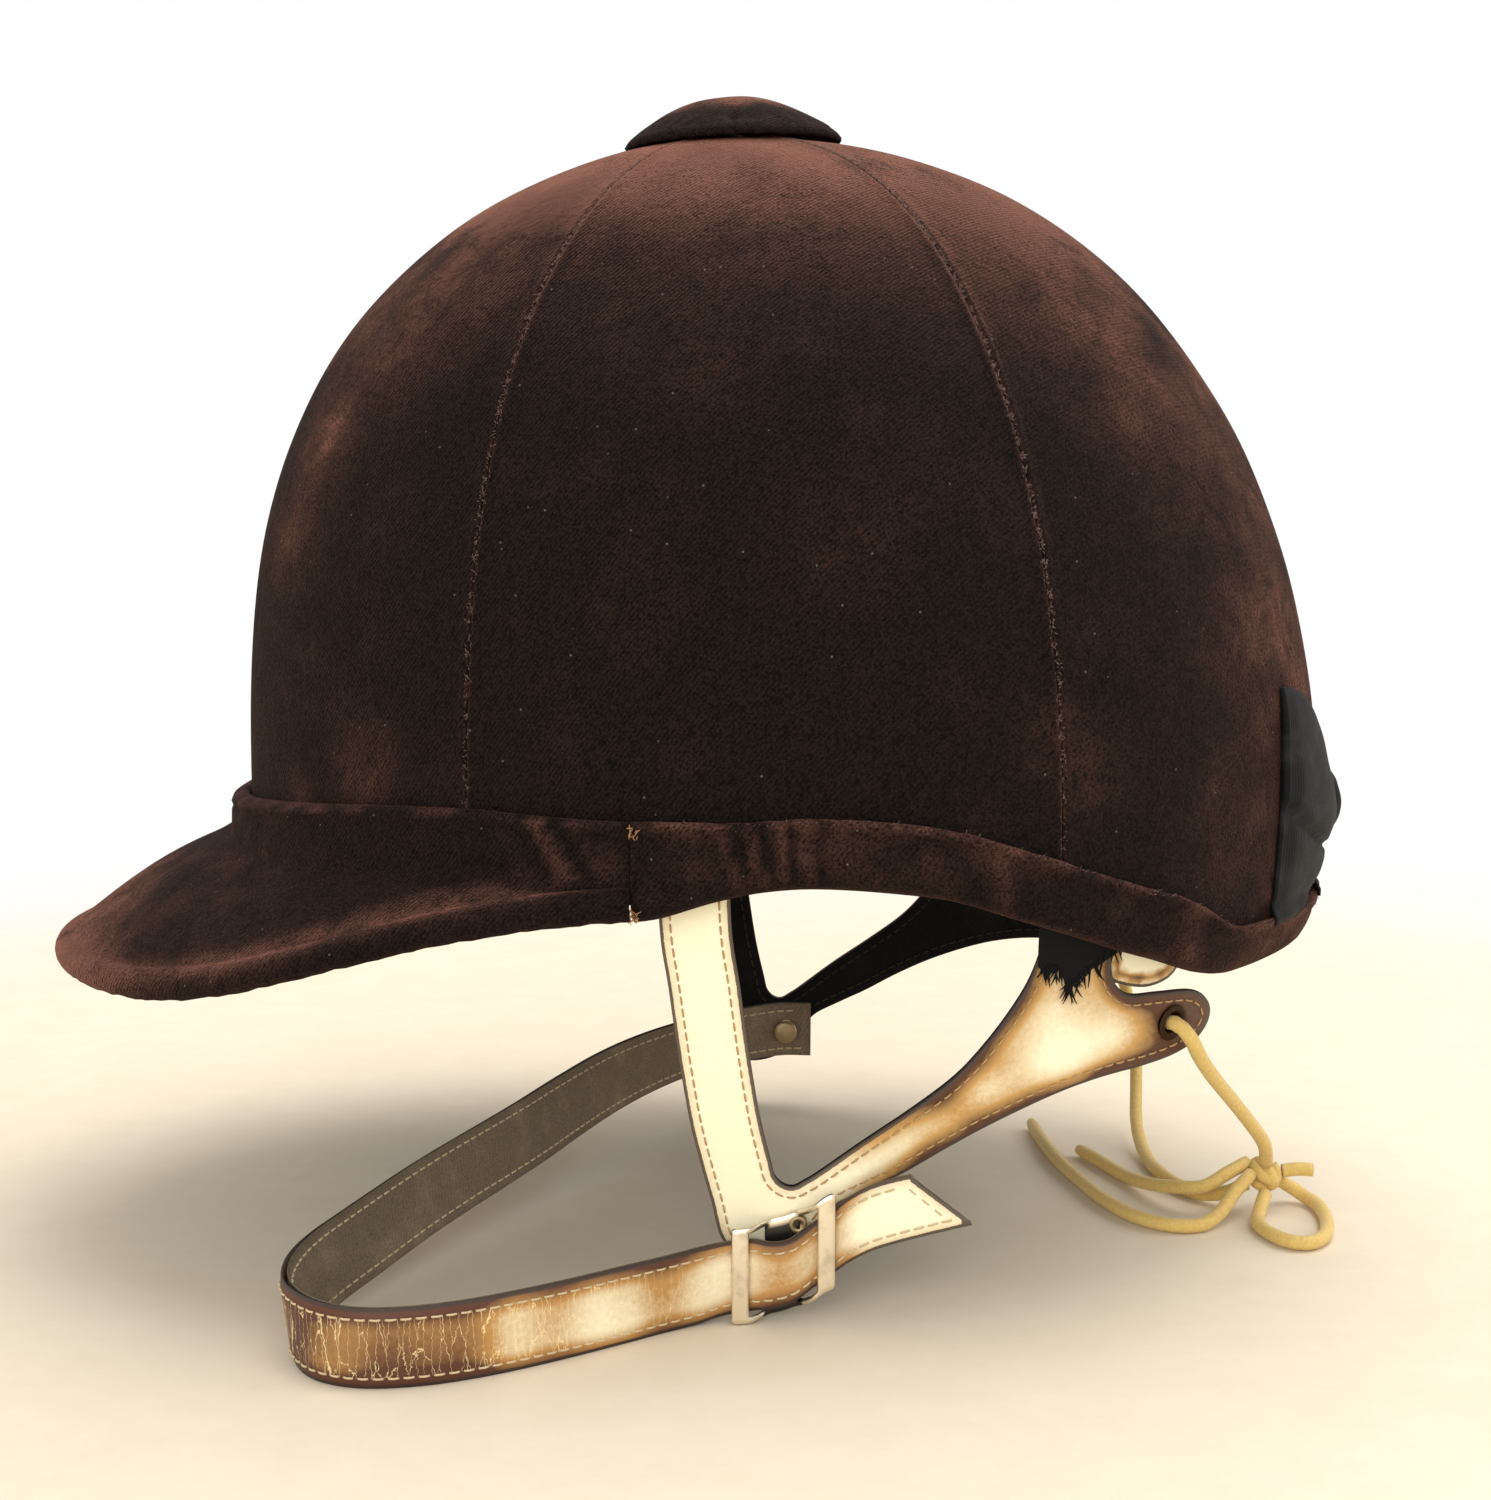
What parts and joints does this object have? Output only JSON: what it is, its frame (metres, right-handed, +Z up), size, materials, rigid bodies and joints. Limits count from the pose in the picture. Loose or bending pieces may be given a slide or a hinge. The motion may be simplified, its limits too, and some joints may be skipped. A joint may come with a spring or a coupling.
{
  "type": "hunt cap",
  "caption": "Velvet-covered riding cap with a rigid peak, covered button, ribbon bow, leather harness, swinging chin strap and nape lace.",
  "frame": {"origin": "middle of the head opening, level with the top of the rim's arches over the ears", "axes": "+Z up through the crown, -X towards the peak, -Y towards the wearer's left"},
  "size_m": [0.2985, 0.2283, 0.2549],
  "materials": {
    "velvet": "matt cotton velvet, very dark brown, worn lighter in spots",
    "shell": "resin-stiffened cloth laminate, matt",
    "board": "stiffened fibreboard",
    "piping_cord": "plain cotton cord",
    "ribbon": "black ribbed ribbon with a faint blue sheen",
    "foam": "light rigid foam, stated as fabric so that its mass stays low",
    "lining_cloth": "black lining cloth",
    "sweatband_leather": "brown smooth leather",
    "harness_leather": "cream leather burnt tan towards the edges, worn",
    "suede": "black to grey-brown flesh side",
    "strap_leather": "tan leather with pale cracks and dark edges",
    "nickel": "nickel-plated, satin with scratches",
    "eyelet_metal": "dark tarnished",
    "tape": "black cotton tape with a frayed end",
    "lace": "yellow-tan waxed lace"
  },
  "bodies": {
    "cap": {"hard_shell": "shell", "peak_board": "board", "peak_edge_cord": "piping_cord", "peak_cover": "velvet", "peak_lining": "velvet", "crown_panel_front": "velvet", "crown_panel_left": "velvet", "crown_panel_right": "velvet", "crown_panel_rear": "velvet", "rear_band": "velvet", "crown_button": "velvet", "button_rivet": "nickel", "bow_loop_left": "ribbon", "bow_loop_right": "ribbon", "bow_tails": "ribbon", "bow_knot": "ribbon", "foam_liner": "foam", "crown_lining": "lining_cloth", "sweatband": "sweatband_leather", "harness_left": "harness_leather", "harness_left_lining": "suede", "harness_right": "harness_leather", "harness_right_lining": "suede", "rear_tab_left": "harness_leather", "rear_tab_right": "harness_leather", "harness_rivets": "nickel", "lace_eyelets": "eyelet_metal", "frayed_tape": "tape", "lace_crossing": "lace", "lace_left": "lace", "lace_right": "lace", "lace_loop": "lace", "lace_end_long": "lace", "lace_end_short": "lace", "lace_stub": "lace", "lace_knot": "lace"},
    "chin_strap": {"chin_strap": "strap_leather", "chin_strap_backing": "suede", "strap_slide": "nickel", "strap_rivets": "nickel"}
  },
  "joints": [
    {"name": "chin_strap_swing", "type": "hinge", "parent": "cap", "child": "chin_strap", "pos_m": [0.002, 0, -0.072], "axis": [0, 1, 0], "range_deg": [-75, 28]}
  ]
}
